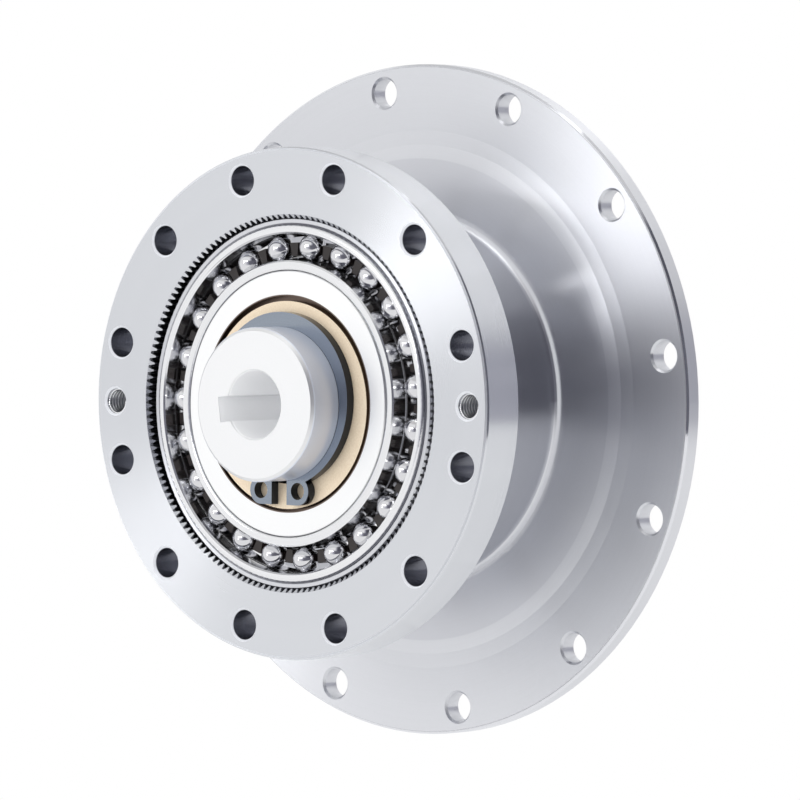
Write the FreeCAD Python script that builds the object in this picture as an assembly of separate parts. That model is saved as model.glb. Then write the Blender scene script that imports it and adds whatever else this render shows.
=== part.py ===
import FreeCAD, Part
import math
import os
from FreeCAD import Vector

# Strain wave gear, hat type, ratio 80 to 1, built at its real size in millimetres.
# The gear axis is Y and the input hub faces -Y. Angles turn from +X towards +Z.
# The origin is the centre of the circular spline's front face.

# Tooth mesh
toothModule = 0.27
flexTeeth = 160
toothDifference = 2
waveHeight = 0.30
waveAngle = 78.0
addendum = 0.22
circularDedendum = 0.25
flexDedendum = 0.27
toothBacklash = 0.11
flankSlope = math.tan(math.radians(24.0))
ringTeeth = flexTeeth + toothDifference
flexPitchRadius = toothModule * flexTeeth / 2
ringPitchRadius = toothModule * ringTeeth / 2
flexTipRadius = flexPitchRadius + addendum
flexRootRadius = flexPitchRadius - flexDedendum
ringTipRadius = ringPitchRadius - addendum
ringRootRadius = ringPitchRadius + circularDedendum

# Circular spline, 60 mm across, with its screw circle 3 mm in from the rim
splineBody = 7.88
splineRadius = ringRootRadius + splineBody
splineThickness = 6.0
splineChamfer = 0.35
splineBoltEdge = 3.0
splineBoltCircle = 2 * (splineRadius - splineBoltEdge)
splineBoltHole = 3.5
splineBoltCount = 12
splineFirstHole = 15.0
jackScrew = 3.0
jackCount = 2
holeChamfer = 0.25
toothBevel = 0.50
toothChamfer = 0.15

# Ball bearing of the wave generator, sized inwards from the flexspline's bore
rimWall = 0.58
fitGap = 0.02
seatChamfer = 0.12
ballDiameter = 3.175
ballCount = 23
firstBallAngle = 115.8
ballCirclePlane = 2.5
grooveClearance = 0.05
outerRaceSkin = 1.0425
innerRaceSkin = 1.1125
frontShoulderDepth = 0.015
rearShoulderDepth = 0.3675
shoulderRamp = 0.5
innerRaceWidth = 5.5
outerRaceWidth = 4.7
frontRaceChamfer = 0.18
rearRaceChamfer = 0.42
outerRaceCorner = 0.60
innerRaceCorner = 0.35
cageWall = 1.55
cageFrontReach = 0.30
cageRing = 0.75
pocketClearance = 0.06
ballRadius = ballDiameter / 2
grooveRadius = ballRadius + grooveClearance
flexBoreRadius = flexRootRadius - rimWall
outerRaceRadius = flexBoreRadius - fitGap
ballCircleRadius = outerRaceRadius - outerRaceSkin - grooveRadius
innerBoreRadius = ballCircleRadius - grooveRadius - innerRaceSkin
innerFrontShoulder = ballCircleRadius - ballRadius + frontShoulderDepth
innerRearShoulder = ballCircleRadius - ballRadius + rearShoulderDepth
outerFrontShoulder = ballCircleRadius + ballRadius - frontShoulderDepth
outerRearShoulder = ballCircleRadius + ballRadius - rearShoulderDepth
innerRaceFront = ballCirclePlane - innerRaceWidth / 2
outerRaceFront = ballCirclePlane - outerRaceWidth / 2
pocketRadius = ballRadius + waveHeight + pocketClearance

# Flexspline, sized outwards from its bore to the 80 mm flange
endGap = 0.05
rimSetback = 0.45
flexToothLength = 7.7
flexToothChamfer = 0.54
collarLength = 0.8
collarRise = 0.15
tubeStep = 0.55
tubeWall = 0.40
boreTaper = 2.0
tubeFillet = 1.2
diaphragmReach = 8.7
diaphragmRise = 1.3
diaphragmWall = 0.50
diaphragmSet = 0.15
bandWidth = 1.7
flangeLand = 7.9
flangeFront = 24.5
flangeThickness = 2.5
flangeChamfer = 0.35
flangeBoltEdge = 3.0
flangeBoltHole = 3.5
flangeBoltCount = 12
flangeFirstHole = 8.5
flexFront = outerRaceFront + rimSetback
flexToothEnd = flexFront + flexToothLength
collarEnd = flexToothEnd + collarLength
collarRadius = flexTipRadius - collarRise
tubeRadius = flexBoreRadius + tubeStep + tubeWall
diaphragmFront = flangeFront - diaphragmRise
tubeEnd = diaphragmFront - tubeFillet
diaphragmRadius = tubeRadius + diaphragmReach
bandEnd = diaphragmRadius + bandWidth
flangeRadius = bandEnd + flangeLand
flangeRear = flangeFront + flangeThickness
flangeBoltCircle = 2 * (flangeRadius - flangeBoltEdge)

# Coupling inside the plug, sized inwards from the plug's bore
plugWall = 2.7
ledgeStep = 0.7
slideGap = 0.02
sideRoom = 0.3
slotDepth = 0.6
hubAngle = 7.0
tongueWidth = 4.0
insertThickness = 4.0
washerThickness = 1.0
washerRoom = 0.45
washerDrop = 0.15
rearWasherRoom = 0.4
insertWall = 2.25
tongueRise = 1.4
hubFront = -6.0
hubChamfer = 0.4
hubFlangeThickness = 2.0
boreRadius = 4.0
boreChamfer = 0.15
keyWidth = 3.0
keyDepth = 1.4
snapFront = -1.4
snapThickness = 1.2
snapGrooveDepth = 0.5
snapGrooveGap = 0.05
snapRise = 1.25
snapOffset = 0.5
lugAngle = 15.5
lugRise = 1.5
lugRadius = 1.65
lugHole = 2.0
lugGap = 2.3
snapAngle = 269.0
washerRecess = innerBoreRadius - plugWall
ledgeRadius = washerRecess - ledgeStep
slotReach = washerRecess + slotDepth
frontWasherRadius = washerRecess - washerRoom
rearWasherRadius = washerRecess - rearWasherRoom
insertRadius = ledgeRadius - sideRoom
insertBore = insertRadius - insertWall
lugTipRadius = slotReach - sideRoom
hubRadius = insertBore - sideRoom - endGap
hubFlangeRadius = insertRadius
tongueReach = hubRadius + tongueRise
insertSlotReach = tongueReach + sideRoom
frontWasherBore = hubRadius + washerDrop + endGap
rearWasherBore = tongueReach + sideRoom
keyReach = boreRadius + keyDepth
snapOuterRadius = hubRadius + snapRise
lugCircle = hubRadius + lugRise
frontWasherFront = snapFront + snapThickness + endGap
insertFront = frontWasherFront + washerThickness + endGap
insertRear = insertFront + insertThickness
rearWasherFront = insertRear + endGap
hubFlangeFront = rearWasherFront + washerThickness + endGap
hubRear = hubFlangeFront + hubFlangeThickness

# Oval plug
plugFront = -0.2
plugTail = 0.8
ledgeInset = 0.15
plugSeat = insertFront + 2 * endGap
ledgeRear = insertRear - ledgeInset
plugRear = hubFlangeFront + plugTail
axis = Vector(0, 1, 0)
origin = Vector(0, 0, 0)


def polar(radius, degrees, y):
    turn = math.radians(degrees)
    return Vector(radius * math.cos(turn), y, radius * math.sin(turn))


def disc(radius, front, length):
    return Part.makeCylinder(radius, length, Vector(0, front, 0), axis)


def tube(outer, inner, front, length):
    extra = 1.0
    return disc(outer, front, length).cut(disc(inner, front - extra, length + 2 * extra))


# An oval of the wave's shape: a circle pushed out along the major axis and in across it
def ovalWire(radius, y, wave=waveHeight):
    centre = Vector(0, y, 0)
    if wave == 0:
        return Part.Wire(Part.Circle(centre, axis, radius).toShape())
    major = polar(radius + wave, waveAngle, y)
    minor = polar(radius - wave, waveAngle + 90, y)
    return Part.Wire(Part.Ellipse(major, minor, centre).toShape())


def prism(wires, front, length):
    face = Part.Face(wires[0])
    for wire in wires[1:]:
        face = face.cut(Part.Face(wire))
    return face.extrude(Vector(0, length, 0))


def ovalTube(outer, inner, front, length):
    return prism([ovalWire(outer, front), ovalWire(inner, front)], front, length)


# A cone or tube between two ovals, each given as radius, y and wave
def ovalLoft(*sections):
    wires = [ovalWire(radius, y, wave) for radius, y, wave in sections]
    return Part.makeLoft(wires, True, True)


# A solid turned about the gear axis from radius and y corners
def turned(corners):
    points = [Vector(radius, y, 0) for radius, y in corners]
    face = Part.Face(Part.makePolygon(points + [points[0]]))
    return face.revolve(origin, axis, 360)


# The ring that bevels the mouth of a hole drilled along the gear axis
def mouthCone(centre, radius, chamfer, outwards):
    start = centre - axis * outwards * chamfer
    return Part.makeCone(radius, radius + chamfer, chamfer, start, axis * outwards)


def drill(body, count, firstAngle, circle, hole, front, rear):
    cuts = []
    for number in range(count):
        angle = firstAngle + number * 360 / count
        mouth = polar(circle / 2, angle, front)
        back = polar(circle / 2, angle, rear)
        cuts.append(Part.makeCylinder(hole / 2, rear - front, mouth, axis))
        cuts.append(mouthCone(mouth, hole / 2, holeChamfer, -1))
        cuts.append(mouthCone(back, hole / 2, holeChamfer, 1))
    return body.cut(cuts)


# Half the width of a tooth at a height above its pitch circle
def toothHalfWidth(height):
    pitch = math.pi * toothModule
    return (pitch - toothBacklash) / 4 - height * flankSlope


# Four corners of each tooth or tooth space, in order round the ring
def toothCorners(count, pitchRadius, inner, outer, widthAt):
    corners = []
    for number in range(count):
        middle = 2 * math.pi * number / count
        foot = widthAt(inner) / pitchRadius
        crown = widthAt(outer) / pitchRadius
        corners.append((pitchRadius + inner, middle - foot))
        corners.append((pitchRadius + outer, middle - crown))
        corners.append((pitchRadius + outer, middle + crown))
        corners.append((pitchRadius + inner, middle + foot))
    return corners


# The bent rim keeps its length, so each point also moves round it a little
def bentPoint(radius, turn, y):
    bentRadius = radius + waveHeight * math.cos(2 * turn)
    bentTurn = turn - waveHeight / (2 * flexPitchRadius) * math.sin(2 * turn)
    return polar(bentRadius, waveAngle + math.degrees(bentTurn), y)


def closedPolygon(points):
    return Part.makePolygon(points + [points[0]])


def circularSpline():
    def spaceHalfWidth(height):
        return math.pi * toothModule / 2 - toothHalfWidth(-height)

    corners = toothCorners(ringTeeth, ringPitchRadius, -addendum, circularDedendum, spaceHalfWidth)
    points = [polar(radius, waveAngle + math.degrees(turn), 0) for radius, turn in corners]
    toothBore = Part.Face(closedPolygon(points))
    blank = Part.Face(Part.Wire(Part.Circle(origin, axis, splineRadius).toShape()))
    body = blank.cut(toothBore).extrude(Vector(0, splineThickness, 0))
    rims = [edge for edge in body.Edges if edge.Closed and edge.Length > 6 * splineRadius]
    body = body.makeChamfer(splineChamfer, rims)
    body = body.cut(mouthCone(origin, ringTipRadius, toothBevel, -1))
    body = body.cut(mouthCone(Vector(0, splineThickness, 0), ringRootRadius, toothChamfer, 1))
    body = drill(body, splineBoltCount, splineFirstHole, splineBoltCircle, splineBoltHole, 0, splineThickness)
    return drill(body, jackCount, 0, splineBoltCircle, jackScrew, 0, splineThickness)


# The toothed rim, bent by the wave generator, bevelled at the front over the tooth ends and in the bore
def flexRim():
    corners = toothCorners(flexTeeth, flexPitchRadius, -flexDedendum, addendum, toothHalfWidth)
    points = [bentPoint(radius, turn, flexFront) for radius, turn in corners]
    rim = prism([closedPolygon(points), ovalWire(flexBoreRadius, flexFront)], flexFront, flexToothLength)
    bevelEnd = flexTipRadius + flexToothChamfer
    cone = ovalLoft((flexTipRadius - flexToothChamfer, flexFront, waveHeight),
                    (flexTipRadius, flexFront + flexToothChamfer, waveHeight))
    outside = disc(bevelEnd + 1, flexFront, flexToothChamfer).cut(cone)
    mouth = ovalLoft((flexBoreRadius + seatChamfer, flexFront, waveHeight),
                     (flexBoreRadius, flexFront + seatChamfer, waveHeight))
    return rim.cut([outside, mouth])


# The tube runs from the oval rim to a true circle at the diaphragm
def flexTube():
    taperEnd = collarEnd + boreTaper
    fade = waveHeight * (tubeEnd - taperEnd) / (tubeEnd - flexToothEnd)
    tubeBore = tubeRadius - tubeWall
    collar = ovalTube(collarRadius, flexBoreRadius, flexToothEnd, collarLength)
    outer = ovalLoft((tubeRadius, collarEnd, waveHeight), (tubeRadius, taperEnd, fade), (tubeRadius, tubeEnd, 0))
    bore = ovalLoft((flexBoreRadius, collarEnd, waveHeight), (tubeBore, taperEnd, fade), (tubeBore, tubeEnd, 0))
    return collar.fuse(outer.cut(bore))


# Diaphragm and bolt flange, turned in one profile
def flexHat():
    corner = math.sqrt(0.5)
    bore = tubeRadius - tubeWall
    rearFillet = tubeFillet + diaphragmWall
    filletEnd = tubeRadius + tubeFillet
    rimFront = flangeFront - diaphragmSet
    rearStep = diaphragmRadius - bandWidth
    filletMiddle = (tubeRadius + tubeFillet * (1 - corner), tubeEnd + tubeFillet * corner)
    domeMiddle = ((filletEnd + diaphragmRadius) / 2, (diaphragmFront + rimFront) / 2 - diaphragmSet)
    rearStart = (filletEnd, diaphragmFront + diaphragmWall)
    rearEnd = (rearStep, rimFront + diaphragmWall)
    rearMiddle = (domeMiddle[0], (rearStart[1] + rearEnd[1]) / 2 - diaphragmSet)
    insideMiddle = (filletEnd - (filletEnd - bore) * corner, rearStart[1] - rearFillet * (1 - corner))

    def spot(place):
        return Vector(place[0], place[1], 0)

    def line(start, end):
        return Part.LineSegment(spot(start), spot(end)).toShape()

    def arc(start, middle, end):
        return Part.Arc(spot(start), spot(middle), spot(end)).toShape()

    tubeOut = (tubeRadius, tubeEnd)
    tubeIn = (bore, tubeEnd)
    edges = [
        line(tubeIn, tubeOut),
        arc(tubeOut, filletMiddle, (filletEnd, diaphragmFront)),
        arc((filletEnd, diaphragmFront), domeMiddle, (diaphragmRadius, rimFront)),
        line((diaphragmRadius, rimFront), (bandEnd, flangeFront)),
        line((bandEnd, flangeFront), (flangeRadius - flangeChamfer, flangeFront)),
        line((flangeRadius - flangeChamfer, flangeFront), (flangeRadius, flangeFront + flangeChamfer)),
        line((flangeRadius, flangeFront + flangeChamfer), (flangeRadius, flangeRear - flangeChamfer)),
        line((flangeRadius, flangeRear - flangeChamfer), (flangeRadius - flangeChamfer, flangeRear)),
        line((flangeRadius - flangeChamfer, flangeRear), (bandEnd, flangeRear)),
        line((bandEnd, flangeRear), rearEnd),
        arc(rearEnd, rearMiddle, rearStart),
        arc(rearStart, insideMiddle, (bore, tubeEnd)),
    ]
    face = Part.Face(Part.Wire(edges))
    hat = face.revolve(origin, axis, 360)
    return drill(hat, flangeBoltCount, flangeFirstHole, flangeBoltCircle, flangeBoltHole, flangeFront, flangeRear)


def flexspline():
    return flexRim().fuse([flexTube(), flexHat()]).removeSplitter()


# The ball path as a full oval pipe, which cuts the groove in both races
def ballGroove():
    path = ovalWire(ballCircleRadius, ballCirclePlane)
    start = path.Edges[0].valueAt(path.Edges[0].FirstParameter)
    heading = path.Edges[0].tangentAt(path.Edges[0].FirstParameter)
    section = Part.Wire(Part.Circle(start, heading, grooveRadius).toShape())
    return path.makePipeShell([section], True, True)


# The shoulder in front of the balls is low, the one behind them high; the step lies in the groove
def shoulders(side, frontShoulder, rearShoulder, front, rear):
    return ovalLoft((frontShoulder + side * frontRaceChamfer, front, waveHeight),
                    (frontShoulder, front + frontRaceChamfer, waveHeight),
                    (frontShoulder, ballCirclePlane - shoulderRamp, waveHeight),
                    (rearShoulder, ballCirclePlane + shoulderRamp, waveHeight),
                    (rearShoulder, rear - rearRaceChamfer, waveHeight),
                    (rearShoulder + side * rearRaceChamfer, rear, waveHeight))


# Rounds the front edge that lies on an oval of this radius
def roundFront(body, front, radius, corner):
    girth = 2 * math.pi * radius
    edges = [edge for edge in body.Edges if abs(edge.BoundBox.YMin - front) < fitGap
             and abs(edge.BoundBox.YMax - front) < fitGap and abs(edge.Length - girth) < waveHeight]
    return body.makeFillet(corner, edges)


def innerRace():
    rear = innerRaceFront + innerRaceWidth
    outer = shoulders(-1, innerFrontShoulder, innerRearShoulder, innerRaceFront, rear)
    bore = prism([ovalWire(innerBoreRadius, innerRaceFront)], innerRaceFront, innerRaceWidth)
    body = roundFront(outer.cut(bore), innerRaceFront, innerBoreRadius, innerRaceCorner)
    return body.cut(ballGroove())


# Its round front edge leads it into the flexspline
def outerRace():
    rear = outerRaceFront + outerRaceWidth
    bore = shoulders(1, outerFrontShoulder, outerRearShoulder, outerRaceFront, rear)
    body = prism([ovalWire(outerRaceRadius, outerRaceFront)], outerRaceFront, outerRaceWidth)
    body = roundFront(body, outerRaceFront, outerRaceRadius, outerRaceCorner)
    return body.cut(bore).cut(ballGroove())


def ballAngle(number):
    return firstBallAngle - number * 360 / ballCount


# Each ball rides the oval: it circles its mean place once while the wave passes twice
def ballCentre(number):
    angle = ballAngle(number)
    phase = 2 * (angle - waveAngle)
    return polar(ballCircleRadius, angle, ballCirclePlane) + polar(waveHeight, angle - phase, 0)


def ball(number):
    return Part.makeSphere(ballRadius, ballCentre(number), axis)


# A crown cage: a back ring with a prong between each two balls
def ballCage():
    front = ballCirclePlane - cageFrontReach
    length = cageFrontReach + pocketRadius + cageRing
    inner = ballCircleRadius - cageWall / 2
    cage = tube(inner + cageWall, inner, front, length)
    pockets = []
    for number in range(ballCount):
        angle = ballAngle(number)
        start = polar(inner - 1, angle, ballCirclePlane)
        pockets.append(Part.makeCylinder(pocketRadius, cageWall + 2, start, polar(1, angle, 0)))
    return cage.cut(pockets)


# A bar along the radius at an angle, for slots, tongues and lugs
def radialBar(width, inner, outer, angle, front, length):
    bar = Part.makeBox(outer - inner, length, width, Vector(inner, front, -width / 2))
    bar.rotate(origin, axis, -angle)
    return bar


def plug():
    length = plugRear - plugFront
    seat = innerBoreRadius - fitGap
    body = ovalLoft((seat - seatChamfer, plugFront, waveHeight),
                    (seat, plugFront + seatChamfer, waveHeight),
                    (seat, plugRear, waveHeight))
    body = body.cut([disc(washerRecess, plugFront, plugSeat - plugFront),
                     disc(ledgeRadius, plugFront, length),
                     disc(washerRecess, ledgeRear, plugRear - ledgeRear)])
    slotFront = insertFront - endGap
    slots = [radialBar(tongueWidth + 2 * slideGap, 0, slotReach, hubAngle + side, slotFront, plugRear - slotFront)
             for side in (0, 180)]
    return body.cut(slots)


def couplingInsert():
    body = tube(insertRadius, insertBore, insertFront, insertThickness)
    lugs = [radialBar(tongueWidth, insertRadius - 1, lugTipRadius, hubAngle + side, insertFront, insertThickness)
            for side in (0, 180)]
    slots = [radialBar(tongueWidth + 2 * slideGap, 0, insertSlotReach, hubAngle + side, insertFront, insertThickness)
             for side in (90, 270)]
    return body.fuse(lugs).removeSplitter().cut(slots)


def rubWasherFront():
    ring = tube(frontWasherRadius, frontWasherBore, frontWasherFront, washerThickness)
    ring.translate(Vector(0, 0, -washerDrop))
    return ring


def rubWasherRear():
    return tube(rearWasherRadius, rearWasherBore, rearWasherFront, washerThickness)


def inputHub():
    groove = hubRadius - snapGrooveDepth
    grooveFront = snapFront - snapGrooveGap
    grooveRear = snapFront + snapThickness + snapGrooveGap
    body = turned([
        (boreRadius + boreChamfer, hubFront),
        (hubRadius - hubChamfer, hubFront),
        (hubRadius, hubFront + hubChamfer),
        (hubRadius, grooveFront),
        (groove, grooveFront),
        (groove, grooveRear),
        (hubRadius, grooveRear),
        (hubRadius, hubFlangeFront),
        (hubFlangeRadius, hubFlangeFront),
        (hubFlangeRadius, hubRear - hubChamfer),
        (hubFlangeRadius - hubChamfer, hubRear),
        (boreRadius + boreChamfer, hubRear),
        (boreRadius, hubRear - boreChamfer),
        (boreRadius, hubFront + boreChamfer),
    ])
    tongueLength = hubFlangeFront - insertFront
    tongues = [radialBar(tongueWidth, groove, tongueReach, hubAngle + side, insertFront, tongueLength)
               for side in (90, 270)]
    body = body.fuse(tongues).removeSplitter()
    return body.cut(radialBar(keyWidth, 0, keyReach, hubAngle + 180, hubFront, hubRear - hubFront))


# External snap ring, widest opposite its two lugs, turned to lie as it does on the hub
def snapRing():
    seat = hubRadius - snapGrooveDepth + fitGap
    rim = Part.makeCylinder(snapOuterRadius, snapThickness, Vector(-snapOffset, snapFront, 0), axis)
    lugs = []
    holes = []
    for side in (-lugAngle, lugAngle):
        centre = polar(lugCircle, side, snapFront)
        lugs.append(Part.makeCylinder(lugRadius, snapThickness, centre, axis))
        root = Part.makeBox(lugRadius + lugCircle - seat, snapThickness, abs(centre.z),
                            Vector(centre.x - lugCircle + seat, snapFront, min(0, centre.z)))
        lugs.append(root)
        holes.append(Part.makeCylinder(lugHole / 2, snapThickness, centre, axis))
    reach = lugCircle + 2 * lugRadius
    gap = Part.makeBox(reach, snapThickness, lugGap, Vector(0, snapFront, -lugGap / 2))
    ring = rim.fuse(lugs).removeSplitter().cut([disc(seat, snapFront, snapThickness), gap] + holes)
    ring.rotate(origin, axis, -snapAngle)
    return ring


def singleSolid(shape):
    solids = shape.Solids
    return solids[0] if len(solids) == 1 else shape


nodes = {
    "circular_spline": circularSpline,
    "flexspline": flexspline,
    "wave_generator_plug": plug,
    "bearing_inner_race": innerRace,
    "bearing_outer_race": outerRace,
    "ball_cage": ballCage,
    "coupling_insert": couplingInsert,
    "rub_washer_front": rubWasherFront,
    "rub_washer_rear": rubWasherRear,
    "input_hub": inputHub,
    "snap_ring": snapRing,
}

os.makedirs("parts", exist_ok=True)
for name, make in nodes.items():
    shape = singleSolid(make())
    shape.exportStep("parts/" + name + ".step")
    print(name, len(shape.Solids), "solid", shape.isValid(), round(shape.Volume, 3))
for number in range(ballCount):
    shape = ball(number)
    shape.exportStep("parts/ball_%02d.step" % (number + 1))
print("balls", ballCount)
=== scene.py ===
import math
import bpy
from mathutils import Matrix, Vector


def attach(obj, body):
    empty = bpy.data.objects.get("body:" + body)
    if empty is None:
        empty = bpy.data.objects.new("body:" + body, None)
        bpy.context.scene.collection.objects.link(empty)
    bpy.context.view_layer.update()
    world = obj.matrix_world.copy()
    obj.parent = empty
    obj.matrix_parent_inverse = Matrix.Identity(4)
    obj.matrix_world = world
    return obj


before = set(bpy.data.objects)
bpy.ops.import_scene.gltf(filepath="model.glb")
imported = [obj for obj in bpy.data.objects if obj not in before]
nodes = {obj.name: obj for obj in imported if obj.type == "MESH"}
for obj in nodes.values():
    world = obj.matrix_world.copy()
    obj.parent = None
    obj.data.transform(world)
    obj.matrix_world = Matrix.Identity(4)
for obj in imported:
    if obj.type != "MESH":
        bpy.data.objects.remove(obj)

# Strain wave gear on a plain white sweep: ground, turned and polished steel
print("frame loaded")


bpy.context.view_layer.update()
mm = 0.001

# How softly a mask ends: over a distance, or over a share of the lean
softEdge = {"hole": 0.03 * mm, "zone": 0.02 * mm, "lean": 0.03}
# Where a zone without its own radius or depth ends: past the whole gear, in mm
wholeGear = {"radius": (-1.0, 60.0), "depth": (-20.0, 40.0)}


# Node helpers

def addNode(tree, kind, settings=None, **values):
    node = tree.nodes.new(kind)
    for name, value in (settings or {}).items():
        setattr(node, name, value)
    for name, value in values.items():
        feed(tree, node.inputs[name.replace("_", " ")], value)
    return node


def feed(tree, socket, value):
    if isinstance(value, bpy.types.NodeSocket):
        tree.links.new(value, socket)
    else:
        socket.default_value = value


def calc(tree, operation, *values):
    node = tree.nodes.new("ShaderNodeMath")
    node.operation = operation
    for index, value in enumerate(values):
        feed(tree, node.inputs[index], value)
    return node.outputs[0]


def stretch(tree, value, low, high, newLow, newHigh, smooth=False):
    node = tree.nodes.new("ShaderNodeMapRange")
    node.interpolation_type = "SMOOTHSTEP" if smooth else "LINEAR"
    for index, number in enumerate((value, low, high, newLow, newHigh)):
        feed(tree, node.inputs[index], number)
    return node.outputs[0]


# One where every first value is above its second, nought elsewhere, with soft edges between
def within(tree, pairs, edge):
    inside = 1.0
    for high, low in pairs:
        side = stretch(tree, calc(tree, "SUBTRACT", high, low), -edge, edge, 0.0, 1.0)
        inside = calc(tree, "MULTIPLY", inside, side)
    return inside


def mixColour(tree, amount, first, second):
    node = tree.nodes.new("ShaderNodeMix")
    node.data_type = "RGBA"
    feed(tree, node.inputs["Factor"], amount)
    feed(tree, node.inputs[6], first)
    feed(tree, node.inputs[7], second)
    return node.outputs[2]


def newGroup(name, inputs, outputs):
    group = bpy.data.node_groups.new(name, "ShaderNodeTree")
    for label, kind, value in inputs:
        socket = group.interface.new_socket(name=label, in_out="INPUT", socket_type=kind)
        if value is not None:
            socket.default_value = value
    for label, kind in outputs:
        group.interface.new_socket(name=label, in_out="OUTPUT", socket_type=kind)
    return group, group.nodes.new("NodeGroupInput").outputs, group.nodes.new("NodeGroupOutput").inputs


def useGroup(tree, group, **values):
    node = tree.nodes.new("ShaderNodeGroup")
    node.node_tree = group
    for name, value in values.items():
        feed(tree, node.inputs[name], value)
    return node.outputs


def axisRadius(tree, place):
    parts = addNode(tree, "ShaderNodeSeparateXYZ", Vector=place).outputs
    across = calc(tree, "MULTIPLY", parts["X"], parts["X"])
    up = calc(tree, "MULTIPLY", parts["Z"], parts["Z"])
    return calc(tree, "SQRT", calc(tree, "ADD", across, up)), parts


# Lathe and grinding marks: they run round the gear axis on faces and rims alike
def makeTurnedMarks():
    group, given, wanted = newGroup(
        "turnedMarks", [("Place", "NodeSocketVector", None), ("PerMetre", "NodeSocketFloat", 9000.0)],
        [("Marks", "NodeSocketFloat"), ("Bands", "NodeSocketFloat")])
    radius, parts = axisRadius(group, given["Place"])
    ringPlace = addNode(group, "ShaderNodeCombineXYZ", X=radius, Y=parts["Y"]).outputs[0]
    fine = addNode(group, "ShaderNodeVectorMath", {"operation": "SCALE"}, Vector=ringPlace,
                   Scale=given["PerMetre"])
    marks = addNode(group, "ShaderNodeTexNoise", Vector=fine.outputs[0], Scale=1.0, Detail=3.0, Roughness=0.6)
    bands = addNode(group, "ShaderNodeTexNoise", Vector=ringPlace, Scale=420.0, Detail=2.0, Roughness=0.5)
    feed(group, wanted["Marks"], marks.outputs["Fac"])
    feed(group, wanted["Bands"], bands.outputs["Fac"])
    return group


# Satin grain: a fine even speckle with soft handling clouds over it
def makeSatinGrain():
    group, given, wanted = newGroup(
        "satinGrain", [("Place", "NodeSocketVector", None), ("PerMetre", "NodeSocketFloat", 6000.0)],
        [("Grain", "NodeSocketFloat"), ("Clouds", "NodeSocketFloat")])
    grain = addNode(group, "ShaderNodeTexNoise", Vector=given["Place"], Scale=given["PerMetre"], Detail=2.0,
                    Roughness=0.7)
    clouds = addNode(group, "ShaderNodeTexNoise", Vector=given["Place"], Scale=70.0, Detail=3.0,
                     Roughness=0.55)
    feed(group, wanted["Grain"], grain.outputs["Fac"])
    feed(group, wanted["Clouds"], clouds.outputs["Fac"])
    return group


# One where a surface lies inside one of a circle of holes, nought outside
def makeHoleCircle():
    group, given, wanted = newGroup(
        "holeCircle", [("Place", "NodeSocketVector", None), ("First", "NodeSocketFloat", 0.0),
                       ("Step", "NodeSocketFloat", 0.5), ("Circle", "NodeSocketFloat", 0.027),
                       ("Reach", "NodeSocketFloat", 0.0018)],
        [("Inside", "NodeSocketFloat")])
    radius, parts = axisRadius(group, given["Place"])
    turn = calc(group, "SUBTRACT", calc(group, "ARCTAN2", parts["Z"], parts["X"]), given["First"])
    half = calc(group, "MULTIPLY", given["Step"], 0.5)
    local = calc(group, "WRAP", turn, half, calc(group, "MULTIPLY", half, -1.0))
    reached = calc(group, "MULTIPLY", radius, calc(group, "COSINE", local))
    outward = calc(group, "SUBTRACT", reached, given["Circle"])
    sideways = calc(group, "MULTIPLY", radius, calc(group, "SINE", local))
    away = calc(group, "SQRT", calc(group, "ADD", calc(group, "MULTIPLY", outward, outward),
                                    calc(group, "MULTIPLY", sideways, sideways)))
    feed(group, wanted["Inside"], within(group, [(given["Reach"], away)], softEdge["hole"]))
    return group


# One between two radii and two depths along the gear axis, nought elsewhere
def makeZone():
    group, given, wanted = newGroup(
        "zone", [("Place", "NodeSocketVector", None), ("Inner", "NodeSocketFloat", 0.0),
                 ("Outer", "NodeSocketFloat", 0.01), ("Front", "NodeSocketFloat", -0.01),
                 ("Rear", "NodeSocketFloat", 0.03)],
        [("Inside", "NodeSocketFloat")])
    radius, parts = axisRadius(group, given["Place"])
    sides = [(radius, given["Inner"]), (given["Outer"], radius), (parts["Y"], given["Front"]),
             (given["Rear"], parts["Y"])]
    feed(group, wanted["Inside"], within(group, sides, softEdge["zone"]))
    return group


# One where a surface faces along the gear axis by more than one share and less than another
def makeLean():
    group, given, wanted = newGroup(
        "lean", [("Facing", "NodeSocketVector", None), ("Low", "NodeSocketFloat", 0.3),
                 ("High", "NodeSocketFloat", 0.9)],
        [("Inside", "NodeSocketFloat")])
    parts = addNode(group, "ShaderNodeSeparateXYZ", Vector=given["Facing"]).outputs
    along = calc(group, "ABSOLUTE", parts["Y"])
    sides = [(along, given["Low"]), (given["High"], along)]
    feed(group, wanted["Inside"], within(group, sides, softEdge["lean"]))
    return group


turnedMarks = makeTurnedMarks()
satinGrain = makeSatinGrain()
holeCircle = makeHoleCircle()
zone = makeZone()
lean = makeLean()


def startMaterial(name):
    material = bpy.data.materials.new(name)
    material.use_nodes = True
    tree = material.node_tree
    tree.nodes.clear()
    place = tree.nodes.new("ShaderNodeTexCoord").outputs["Object"]
    shader = tree.nodes.new("ShaderNodeBsdfPrincipled")
    output = tree.nodes.new("ShaderNodeOutputMaterial")
    tree.links.new(shader.outputs["BSDF"], output.inputs["Surface"])
    return material, tree, place, shader


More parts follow.
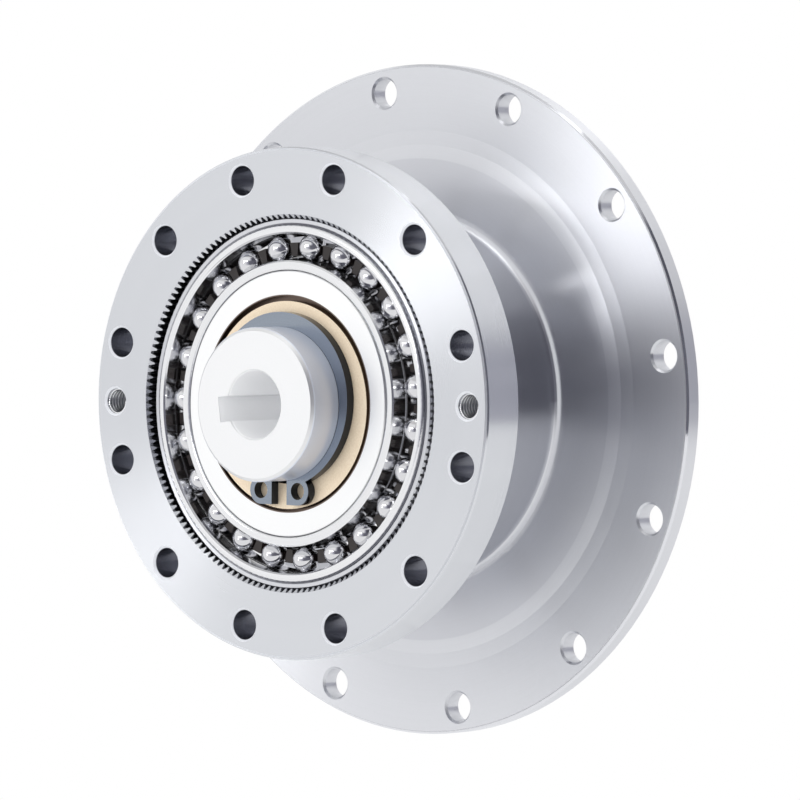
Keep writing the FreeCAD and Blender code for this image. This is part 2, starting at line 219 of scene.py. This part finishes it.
# Tints the colour and changes the roughness and the metal where each of the zones lies
def addZones(tree, place, zones, colour, rough, metal):
    facing = tree.nodes.new("ShaderNodeTexCoord").outputs["Normal"]
    for look in zones:
        if "holes" in look:
            first, count, circle, reach = look["holes"]
            inside = useGroup(tree, holeCircle, Place=place, First=math.radians(first),
                              Step=2 * math.pi / count, Circle=circle * mm, Reach=reach * mm)["Inside"]
        else:
            inner, outer = look.get("radius", wholeGear["radius"])
            front, rear = look.get("depth", wholeGear["depth"])
            inside = useGroup(tree, zone, Place=place, Inner=inner * mm, Outer=outer * mm, Front=front * mm,
                              Rear=rear * mm)["Inside"]
        if "lean" in look:
            low, high = look["lean"]
            leaning = useGroup(tree, lean, Facing=facing, Low=low, High=high)["Inside"]
            inside = calc(tree, "MULTIPLY", inside, leaning)
        if "tint" in look:
            tinted = addNode(tree, "ShaderNodeMix", {"data_type": "RGBA", "blend_type": "MULTIPLY"})
            for index, value in ((0, inside), (6, colour), (7, look["tint"])):
                feed(tree, tinted.inputs[index], value)
            colour = tinted.outputs[2]
        if "rough" in look:
            rough = stretch(tree, inside, 0.0, 1.0, rough, look["rough"])
        if "metal" in look:
            metal = stretch(tree, inside, 0.0, 1.0, metal, look["metal"])
    return colour, rough, metal


def addBump(tree, shader, height, look):
    bump = addNode(tree, "ShaderNodeBump", Height=height, Strength=1.0, Distance=look["bump"] * mm)
    tree.links.new(bump.outputs["Normal"], shader.inputs["Normal"])


# Marks that run round the gear axis spread a reflection across themselves, so it fans out from the axis
def roundTangent(tree, shader, look):
    tangent = addNode(tree, "ShaderNodeTangent", {"direction_type": "RADIAL", "axis": "Y"})
    tree.links.new(tangent.outputs["Tangent"], shader.inputs["Tangent"])
    shader.inputs["Anisotropic"].default_value = look["round"]
    shader.inputs["Anisotropic Rotation"].default_value = look["across"]


# Steel with turned marks, satin grain or both
def makeSteel(name, look):
    material, tree, place, shader = startMaterial(name)
    turned = useGroup(tree, turnedMarks, Place=place, PerMetre=look["marksPerMetre"])
    satin = useGroup(tree, satinGrain, Place=place, PerMetre=look["grainPerMetre"])
    shade = calc(tree, "ADD", calc(tree, "MULTIPLY", turned["Marks"], look["marksShade"]),
                 calc(tree, "MULTIPLY", satin["Grain"], look["grainShade"]))
    shade = calc(tree, "ADD", shade, calc(tree, "MULTIPLY", turned["Bands"], look["bandShade"]))
    middle = 0.5 * (look["marksShade"] + look["grainShade"] + look["bandShade"])
    amount = stretch(tree, shade, middle - 0.5, middle + 0.5, 0.0, 1.0)
    colour = mixColour(tree, amount, look["dark"], look["light"])
    rough = calc(tree, "ADD", calc(tree, "MULTIPLY", satin["Clouds"], look["roughClouds"]),
                 calc(tree, "MULTIPLY", turned["Marks"], look["roughMarks"]))
    rough = calc(tree, "ADD", rough, look["rough"] - 0.5 * (look["roughClouds"] + look["roughMarks"]))
    colour, rough, metal = addZones(tree, place, look["zones"], colour, rough, look["metal"])
    tree.links.new(colour, shader.inputs["Base Color"])
    tree.links.new(rough, shader.inputs["Roughness"])
    feed(tree, shader.inputs["Metallic"], metal)
    height = calc(tree, "ADD", calc(tree, "MULTIPLY", turned["Marks"], look["marksDepth"]),
                  calc(tree, "MULTIPLY", satin["Grain"], look["grainDepth"]))
    addBump(tree, shader, height, look)
    if look["round"]:
        roundTangent(tree, shader, look)
    return material


# A look holds shades and depths of the marks, and zones in mm from the gear axis and along it.
# Round is how strongly the marks spread a reflection, across is the share of a turn to their cross direction.
# A zone's holes are the first one's angle, how many, their circle's radius and their reach.
# Its lean is the share by which the surface faces along the axis.
plainSteel = {
    "dark": (0.60, 0.61, 0.63, 1), "light": (0.80, 0.81, 0.83, 1),
    "marksPerMetre": 9000.0, "grainPerMetre": 5000.0,
    "marksShade": 0.3, "grainShade": 0.4, "bandShade": 0.2,
    "rough": 0.34, "roughClouds": 0.05, "roughMarks": 0.05,
    "marksDepth": 0.3, "grainDepth": 1.0, "bump": 0.001, "round": 0.0, "across": 0.25, "metal": 1.0,
    "zones": [],
}

splineLook = dict(plainSteel, **{
    "dark": (0.62, 0.635, 0.67, 1), "light": (0.74, 0.755, 0.79, 1), "rough": 0.26, "round": 0.90,
    "zones": [
        # Painted shade darkening the walls of the screw holes, then a painted highlight lightening the
        # chamfers of the screw holes and the jack holes
        {"holes": (15.0, 12, 27.0, 1.78), "tint": (0.32, 0.32, 0.35, 1)},
        {"holes": (15.0, 12, 27.0, 2.1), "lean": (0.33, 0.94), "tint": (1.25, 1.25, 1.25, 1),
         "rough": 0.6, "metal": 0.2},
        {"holes": (0.0, 2, 27.0, 1.85), "lean": (0.33, 0.94), "tint": (1.25, 1.25, 1.25, 1),
         "rough": 0.6, "metal": 0.2},
        # Front half of the rim's chamfer with a painted highlight, its back half, then painted shade in the
        # tooth gaps
        {"radius": (29.5, 30.2), "depth": (-0.1, 0.20), "lean": (0.33, 0.94), "tint": (1.2, 1.2, 1.2, 1),
         "rough": 0.6},
        {"radius": (29.5, 30.2), "depth": (0.20, 0.4), "lean": (0.33, 0.94), "rough": 0.12},
        {"radius": (21.4, 22.6), "depth": (0.55, 5.0), "tint": (0.20, 0.20, 0.21, 1)},
    ],
})
flexLook = dict(plainSteel, **{
    "dark": (0.68, 0.69, 0.725, 1), "light": (0.80, 0.81, 0.845, 1), "rough": 0.34, "round": 0.93,
    "marksShade": 0.3, "grainShade": 0.2, "bandShade": 0.2, "marksDepth": 0.35, "grainDepth": 0.4,
    "zones": [
        # Tube darkened with painted shade, the pale line round its foot as a painted highlight, and the
        # diaphragm
        {"radius": (20.6, 22.05), "depth": (8.4, 22.6), "tint": (0.70, 0.705, 0.73, 1), "rough": 0.28},
        {"radius": (21.6, 23.1), "depth": (21.9, 23.25), "lean": (0.72, 0.93), "tint": (1.15, 1.15, 1.15, 1),
         "rough": 0.6, "metal": 0.2},
        {"radius": (22.4, 30.6), "depth": (22.9, 24.0), "tint": (0.90, 0.90, 0.91, 1)},
        # Front and back half of the flange's chamfer, then painted shade on the teeth
        {"radius": (39.5, 40.2), "depth": (24.4, 24.62), "lean": (0.33, 0.94), "rough": 0.6},
        {"radius": (39.5, 40.2), "depth": (24.62, 24.95), "lean": (0.33, 0.94), "rough": 0.08},
        {"radius": (21.2, 22.2), "depth": (0.62, 8.4), "tint": (0.3, 0.3, 0.32, 1)},
    ],
})
raceLook = dict(plainSteel, **{
    "dark": (0.74, 0.745, 0.76, 1), "light": (0.90, 0.905, 0.92, 1), "rough": 0.20, "round": 0.4,
    "marksShade": 0.4, "grainShade": 0.1, "marksDepth": 0.4, "grainDepth": 0.1,
    "zones": [
        # Polished grooves of both rings
        {"radius": (15.6, 17.9), "depth": (-0.15, 6.0), "rough": 0.16},
        {"radius": (18.2, 20.6), "depth": (0.22, 6.0), "rough": 0.16},
        # Painted shade in the corners where the outer ring meets the cup and the inner ring meets the plug
        {"radius": (19.7, 21.1), "depth": (0.0, 0.8), "lean": (-1.0, 0.70), "tint": (0.35, 0.35, 0.38, 1)},
        {"radius": (14.8, 16.05), "depth": (-0.4, 0.15), "lean": (-1.0, 0.65), "tint": (0.40, 0.40, 0.42, 1)},
    ],
})
plugLook = dict(plainSteel, **{
    "dark": (0.88, 0.885, 0.89, 1), "light": (0.97, 0.975, 0.98, 1), "rough": 0.32,
    # Painted shade in the pocket for the coupling
    "zones": [{"radius": (0.0, 12.75), "depth": (-0.95, 8.0), "tint": (0.16, 0.12, 0.10, 1)}],
})
hubLook = dict(plainSteel, **{
    "dark": (0.78, 0.785, 0.795, 1), "light": (0.86, 0.865, 0.875, 1), "rough": 0.42,
    "zones": [
        # Bore with its key groove, lightened and made matte as painted light, then the side
        {"radius": (0.0, 5.6), "depth": (-5.9, 30.0), "tint": (1.14, 1.14, 1.14, 1), "rough": 0.6,
         "metal": 0.1},
        {"radius": (8.8, 9.2), "depth": (-5.7, 10.0), "tint": (0.86, 0.89, 0.97, 1), "rough": 0.36,
         "metal": 0.6},
    ],
})
insertLook = dict(plainSteel, **{
    "dark": (0.30, 0.29, 0.28, 1), "light": (0.44, 0.43, 0.42, 1), "rough": 0.36,
})
bronzeLook = dict(plainSteel, **{
    "dark": (0.76, 0.61, 0.43, 1), "light": (0.96, 0.83, 0.65, 1), "rough": 0.45, "metal": 0.3,
    "grainShade": 1.1, "marksShade": 0.2, "grainPerMetre": 5000.0,
    # Painted shade on the edge
    "zones": [{"lean": (-1.0, 0.5), "tint": (0.15, 0.10, 0.07, 1)}],
})
snapLook = dict(plainSteel, **{
    "dark": (0.23, 0.265, 0.32, 1), "light": (0.34, 0.38, 0.44, 1), "rough": 0.18,
    # Painted shade on the edge
    "zones": [{"lean": (-1.0, 0.5), "tint": (0.12, 0.12, 0.13, 1)}],
})
ballLook = dict(plainSteel, **{
    "dark": (0.66, 0.66, 0.68, 1), "light": (0.74, 0.74, 0.76, 1), "rough": 0.05,
    "roughClouds": 0.02, "roughMarks": 0.0, "marksDepth": 0.0, "grainDepth": 0.02, "marksShade": 0.0,
})


def makeCageResin(look):
    material, tree, place, shader = startMaterial("cageResin")
    satin = useGroup(tree, satinGrain, Place=place, PerMetre=look["grainPerMetre"])
    colour = mixColour(tree, satin["Clouds"], look["dark"], look["light"])
    tree.links.new(colour, shader.inputs["Base Color"])
    spread = look["roughGrain"]
    rough = calc(tree, "ADD", calc(tree, "MULTIPLY", satin["Grain"], spread), look["rough"] - 0.5 * spread)
    tree.links.new(rough, shader.inputs["Roughness"])
    addBump(tree, shader, satin["Grain"], look)
    return material


resinLook = {"dark": (0.010, 0.008, 0.008, 1), "light": (0.030, 0.020, 0.018, 1), "rough": 0.38,
             "roughGrain": 0.2, "grainPerMetre": 4000.0, "bump": 0.004}

finishes = {
    "splineSteel": makeSteel("splineSteel", splineLook),
    "flexSteel": makeSteel("flexSteel", flexLook),
    "raceSteel": makeSteel("raceSteel", raceLook),
    "plugSteel": makeSteel("plugSteel", plugLook),
    "hubSteel": makeSteel("hubSteel", hubLook),
    "insertSteel": makeSteel("insertSteel", insertLook),
    "washerBronze": makeSteel("washerBronze", bronzeLook),
    "snapSteel": makeSteel("snapSteel", snapLook),
    "ballChrome": makeSteel("ballChrome", ballLook),
    "cageResin": makeCageResin(resinLook),
}

# Every node that isn't listed here is a ball
dressing = {
    "circular_spline": "splineSteel", "flexspline": "flexSteel", "wave_generator_plug": "plugSteel",
    "bearing_inner_race": "raceSteel", "bearing_outer_race": "raceSteel", "ball_cage": "cageResin",
    "coupling_insert": "insertSteel", "rub_washer_front": "washerBronze", "rub_washer_rear": "washerBronze",
    "input_hub": "hubSteel", "snap_ring": "snapSteel",
}
for name, node in nodes.items():
    node.data.materials.clear()
    node.data.materials.append(finishes[dressing.get(name, "ballChrome")])
print("nodes dressed")


# Threads of the two jack holes, in mm: a three-cornered ridge wound up the wall and sunk a little in it

jackThread = {"wall": 1.5, "sink": 0.02, "crest": 1.23, "pitch": 0.5, "foot": 0.40, "front": 0.35,
              "turns": 10, "steps": 36, "circle": 27.0}


def clearSelection():
    if bpy.context.object and bpy.context.object.mode != "OBJECT":
        bpy.ops.object.mode_set(mode="OBJECT")
    bpy.ops.object.select_all(action="DESELECT")


def makeJackThread(name, side, look):
    clearSelection()
    bpy.ops.mesh.primitive_circle_add(vertices=3, radius=look["foot"] * mm, fill_type="NOTHING")
    thread = bpy.context.object
    thread.name = thread.data.name = name
    base = look["wall"] + look["sink"]
    corners = [(look["crest"], 0.0), (base, look["foot"] / 2), (base, -look["foot"] / 2)]
    for vertex, (radius, height) in zip(thread.data.vertices, corners):
        vertex.co = Vector((radius, 0.0, height)) * mm
    coil = thread.modifiers.new("coil", "SCREW")
    coil.axis = "Z"
    coil.angle = 2 * math.pi
    coil.screw_offset = look["pitch"] * mm
    coil.iterations = look["turns"]
    coil.steps = coil.render_steps = look["steps"]
    coil.use_merge_vertices = False
    bpy.ops.object.modifier_apply(modifier="coil")
    bpy.ops.object.mode_set(mode="EDIT")
    bpy.ops.mesh.select_all(action="SELECT")
    bpy.ops.mesh.fill_holes(sides=3)
    bpy.ops.mesh.select_all(action="SELECT")
    bpy.ops.mesh.normals_make_consistent(inside=False)
    bpy.ops.object.mode_set(mode="OBJECT")
    lay = Matrix.Translation(Vector((side * look["circle"], look["front"], 0)) * mm) @ Matrix.Rotation(
        math.radians(-90), 4, "X")
    thread.data.transform(lay)
    thread.data.materials.append(finishes["raceSteel"])
    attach(thread, "circular_spline")


makeJackThread("jackThreadRight", 1, jackThread)
makeJackThread("jackThreadLeft", -1, jackThread)
print("jack threads made")


# Studio: white sweep, grey walls that only reflections see, and soft lamps

studio = {
    "floor": -40.05 * mm, "floorWide": 0.62, "floorDeep": 0.39, "floorBack": 0.078,
    "paper": (0.9, 0.9, 0.9, 1), "sky": (0.97, 0.98, 1.0, 1),
    "wallRadius": 2.6, "wallLow": -1.2, "wallHigh": 3.4, "sides": 96,
    "middle": (0.5, 1.2), "rise": (2.2, 3.2), "upper": 0.72, "brightest": 1.2, "blue": 0.25,
}


def startStage(name):
    material = bpy.data.materials.new(name)
    material.use_nodes = True
    material.node_tree.nodes.clear()
    return material, material.node_tree


def setStage(item, name, material, surface):
    output = material.node_tree.nodes.new("ShaderNodeOutputMaterial")
    material.node_tree.links.new(surface, output.inputs["Surface"])
    item.name = name
    item.data.materials.append(material)


def blendShaders(tree, amount, first, second):
    blend = tree.nodes.new("ShaderNodeMixShader")
    for index, value in enumerate((amount, first, second)):
        tree.links.new(value, blend.inputs[index])
    return blend.outputs[0]


# One for the camera and for what it sees in polished or clear pieces, nought for plain lighting
def seenRays(tree):
    path = tree.nodes.new("ShaderNodeLightPath").outputs
    mirrored = calc(tree, "MAXIMUM", path["Is Glossy Ray"], path["Is Transmission Ray"])
    return calc(tree, "MAXIMUM", path["Is Camera Ray"], mirrored)


def onlyReflected(tree, other):
    path = tree.nodes.new("ShaderNodeLightPath").outputs
    return blendShaders(tree, path["Is Glossy Ray"], plainWhite(tree), other)


def plainWhite(tree):
    return addNode(tree, "ShaderNodeEmission", Color=(1, 1, 1, 1), Strength=1.0).outputs[0]


def makeFloor():
    clearSelection()
    bpy.ops.mesh.primitive_plane_add(size=1.0, location=(0, studio["floorBack"], studio["floor"]))
    floor = bpy.context.object
    floor.scale = (studio["floorWide"], studio["floorDeep"], 1.0)
    bpy.ops.object.transform_apply(location=True, scale=True)
    material, tree = startStage("sweepPaper")
    paper = addNode(tree, "ShaderNodeBsdfDiffuse", Color=studio["paper"]).outputs[0]
    setStage(floor, "sweepFloor", material, blendShaders(tree, seenRays(tree), paper, plainWhite(tree)))


# Degrees from the front towards the right, and brightness: at the gear's height, then far above or below it
wallTones = [(-180, 0.95), (-162, 0.90), (-148, 0.55), (-112, 0.85), (-75, 1.00), (-20, 1.00), (5, 0.55),
             (22, 0.18), (108, 0.10), (113, 0.45), (118, 0.90), (123, 0.48), (148, 0.45), (162, 0.85),
             (180, 0.95)]
highTones = [(-180, 1.10), (-112, 1.00), (20, 1.00), (36, 0.40), (46, 0.10), (108, 0.10), (130, 0.90),
             (150, 1.10), (180, 1.10)]


def toneRamp(tree, share, tones):
    ramp = tree.nodes.new("ShaderNodeValToRGB")
    tree.links.new(share, ramp.inputs["Fac"])
    stops = ramp.color_ramp.elements
    while len(stops) < len(tones):
        stops.new(0.5)
    for stop, (angle, tone) in zip(stops, tones):
        stop.position = (angle + 180) / 360
        level = tone / studio["brightest"]
        blue = 1 + studio["blue"] * (1 - min(1, tone))
        stop.color = (level, level, level * blue, 1)
    return ramp.outputs["Color"]


def makeWalls():
    clearSelection()
    height = studio["wallHigh"] - studio["wallLow"]
    middle = studio["wallLow"] + height / 2
    bpy.ops.mesh.primitive_cylinder_add(vertices=studio["sides"], radius=studio["wallRadius"], depth=height,
                                        end_fill_type="NOTHING", location=(0, 0, middle))
    bpy.ops.object.transform_apply(location=True)
    walls = bpy.context.object
    material, tree = startStage("wallGrey")
    place = tree.nodes.new("ShaderNodeTexCoord").outputs["Object"]
    parts = addNode(tree, "ShaderNodeSeparateXYZ", Vector=place).outputs
    back = calc(tree, "MULTIPLY", parts["Y"], -1.0)
    turn = calc(tree, "ARCTAN2", parts["X"], back)
    share = stretch(tree, turn, -math.pi, math.pi, 0.0, 1.0)
    away = stretch(tree, calc(tree, "ABSOLUTE", parts["Z"]), *studio["middle"], 0.0, 1.0, smooth=True)
    tone = mixColour(tree, away, toneRamp(tree, share, wallTones), toneRamp(tree, share, highTones))
    rise = stretch(tree, parts["Z"], *studio["rise"], 0.0, 1.0, smooth=True)
    upper = studio["upper"] / studio["brightest"]
    tone = mixColour(tree, rise, tone, (upper, upper, upper, 1))
    glow = addNode(tree, "ShaderNodeEmission", Color=tone, Strength=studio["brightest"]).outputs[0]
    setStage(walls, "studioWalls", material, onlyReflected(tree, glow))


def makeCeiling():
    clearSelection()
    bpy.ops.mesh.primitive_circle_add(vertices=studio["sides"], radius=studio["wallRadius"], fill_type="NGON",
                                      location=(0, 0, studio["wallHigh"]))
    bpy.ops.object.transform_apply(location=True)
    ceiling = bpy.context.object
    material, tree = startStage("ceilingGrey")
    upper = studio["upper"]
    glow = addNode(tree, "ShaderNodeEmission", Color=(upper, upper, upper, 1), Strength=1.0).outputs[0]
    setStage(ceiling, "studioCeiling", material, onlyReflected(tree, glow))


def makeSky():
    world = bpy.data.worlds.new("studioSky")
    bpy.context.scene.world = world
    world.use_nodes = True
    tree = world.node_tree
    tree.nodes.clear()
    white = addNode(tree, "ShaderNodeBackground", Color=(1, 1, 1, 1), Strength=1.0).outputs[0]
    soft = addNode(tree, "ShaderNodeBackground", Color=studio["sky"], Strength=1.0).outputs[0]
    output = tree.nodes.new("ShaderNodeOutputWorld")
    tree.links.new(blendShaders(tree, seenRays(tree), soft, white), output.inputs["Surface"])


lamps = [
    {"name": "keyLamp", "from": (-0.256, -1.205, 0.307), "wide": 0.75, "tall": 0.14, "power": 2.6},
    {"name": "topLamp", "from": (0.1, 0.1, 1.3), "wide": 0.9, "tall": 0.9, "power": 4.0},
]


def makeLamps():
    for look in lamps:
        data = bpy.data.lights.new(look["name"], "AREA")
        data.shape = "RECTANGLE"
        data.size = look["wide"]
        data.size_y = look["tall"]
        data.energy = look["power"]
        lamp = bpy.data.objects.new(look["name"], data)
        bpy.context.scene.collection.objects.link(lamp)
        lamp.location = look["from"]
        lamp.rotation_euler = (-Vector(look["from"])).to_track_quat("-Z", "Y").to_euler()


makeFloor()
makeWalls()
makeCeiling()
makeSky()
makeLamps()
print("studio made")


# Camera, matched to the screw holes in the photograph: angles in degrees, lengths in mm

shot = {"azimuth": 39.627, "elevation": 1.329, "roll": -0.242, "distance": 840.697, "right": 13.13,
        "up": 0.427, "lens": 323.888, "sensor": 36.0, "near": 50.0, "far": 20000.0}


def makeCamera():
    azimuth = math.radians(shot["azimuth"])
    elevation = math.radians(shot["elevation"])
    roll = math.radians(shot["roll"])
    back = Vector((math.sin(azimuth) * math.cos(elevation), -math.cos(azimuth) * math.cos(elevation),
                   math.sin(elevation)))
    level = (-back).cross(Vector((0, 0, 1))).normalized()
    upright = level.cross(-back)
    right = level * math.cos(roll) + upright * math.sin(roll)
    up = upright * math.cos(roll) - level * math.sin(roll)
    place = (back * shot["distance"] + right * shot["right"] + up * shot["up"]) * mm
    data = bpy.data.cameras.new("shotCamera")
    data.sensor_width = shot["sensor"]
    data.lens = shot["lens"]
    data.clip_start = shot["near"] * mm
    data.clip_end = shot["far"] * mm
    camera = bpy.data.objects.new("shotCamera", data)
    bpy.context.scene.collection.objects.link(camera)
    camera.matrix_world = Matrix.Translation(place) @ Matrix((right, up, back)).transposed().to_4x4()
    bpy.context.scene.camera = camera


makeCamera()
bpy.context.scene.view_settings.view_transform = "Standard"

print("camera set")
